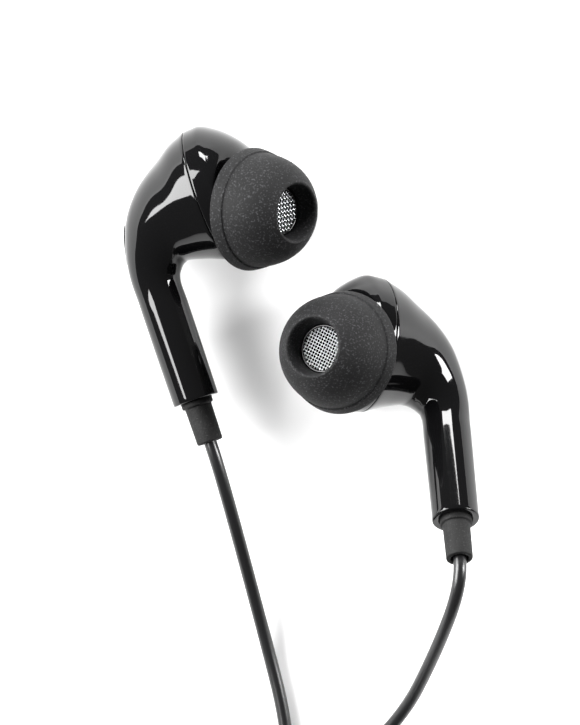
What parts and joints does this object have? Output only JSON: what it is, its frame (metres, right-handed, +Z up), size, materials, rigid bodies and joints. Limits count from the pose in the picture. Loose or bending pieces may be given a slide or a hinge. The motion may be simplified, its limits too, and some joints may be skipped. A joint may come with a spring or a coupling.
{
  "type": "wired in-ear earphones",
  "caption": "In-ear earphones with stemmed rounded housings, angled nozzles, silicone tips and a forked cord ending in a small round audio plug.",
  "frame": {"origin": "on the table, under the middle of the pair of earpieces without the cord", "axes": "+Z up from the table, +Y from the plug's end towards the earpieces, +X to the right with the cord nearest"},
  "size_m": [0.0417, 0.1381, 0.0184],
  "materials": {
    "housing": "gloss",
    "vent": "matte",
    "mesh": "satin",
    "ear_tip": "matte",
    "driver_metal": "satin",
    "magnet": "satin",
    "copper": "satin",
    "membrane": "satin",
    "paper": "matte",
    "bush": "matte",
    "cord_jacket": "satin",
    "plug_grip": "satin",
    "plug_metal": "gloss",
    "insulator": "matte"
  },
  "bodies": {
    "set": {"right_rear_shell": "housing", "right_rear_vent": "vent", "right_front_cap": "housing", "right_nozzle_mesh": "mesh", "right_driver_frame": "driver_metal", "right_magnet": "magnet", "right_pole_piece": "driver_metal", "right_driver_cover": "driver_metal", "right_damping_paper": "paper", "right_stem_bush": "bush", "right_cord_crimp": "bush", "right_lead_wire_front": "copper", "right_lead_wire_back": "copper", "right_cord": "cord_jacket", "right_cord_coil": "cord_jacket", "right_cord_end": "cord_jacket", "left_rear_shell": "housing", "left_rear_vent": "vent", "left_front_cap": "housing", "left_nozzle_mesh": "mesh", "left_driver_frame": "driver_metal", "left_magnet": "magnet", "left_pole_piece": "driver_metal", "left_driver_cover": "driver_metal", "left_damping_paper": "paper", "left_stem_bush": "bush", "left_cord_crimp": "bush", "left_lead_wire_front": "copper", "left_lead_wire_back": "copper", "left_cord": "cord_jacket", "left_cord_coil": "cord_jacket", "left_cord_end": "cord_jacket", "main_cord_start": "cord_jacket", "main_cord_coil": "cord_jacket", "main_cord_end": "cord_jacket", "yoke": "bush", "plug_boot": "bush", "plug_grip": "plug_grip", "plug_sleeve": "plug_metal", "plug_insulator_rear": "insulator", "plug_ring": "plug_metal", "plug_insulator_front": "insulator", "plug_tip": "plug_metal"},
    "right_tip": {"right_ear_tip": "ear_tip"},
    "left_tip": {"left_ear_tip": "ear_tip"},
    "right_cone": {"right_diaphragm": "membrane", "right_voice_coil": "copper"},
    "left_cone": {"left_diaphragm": "membrane", "left_voice_coil": "copper"}
  },
  "joints": [
    {"name": "right_tip_pull", "type": "slide", "parent": "set", "child": "right_tip", "axis": [0.7491, -0.0801, 0.6576], "range_m": [0, 0.008]},
    {"name": "left_tip_pull", "type": "slide", "parent": "set", "child": "left_tip", "axis": [-0.4955, 0.0956, 0.8634], "range_m": [0, 0.008]},
    {"name": "right_cone_travel", "type": "slide", "parent": "set", "child": "right_cone", "axis": [0.9312, 0.3251, 0.165], "range_m": [-0.0002, 0.0002], "stiffness_N_per_m": 200},
    {"name": "left_cone_travel", "type": "slide", "parent": "set", "child": "left_cone", "axis": [-0.9202, 0.1589, 0.3579], "range_m": [-0.0002, 0.0002], "stiffness_N_per_m": 200}
  ]
}
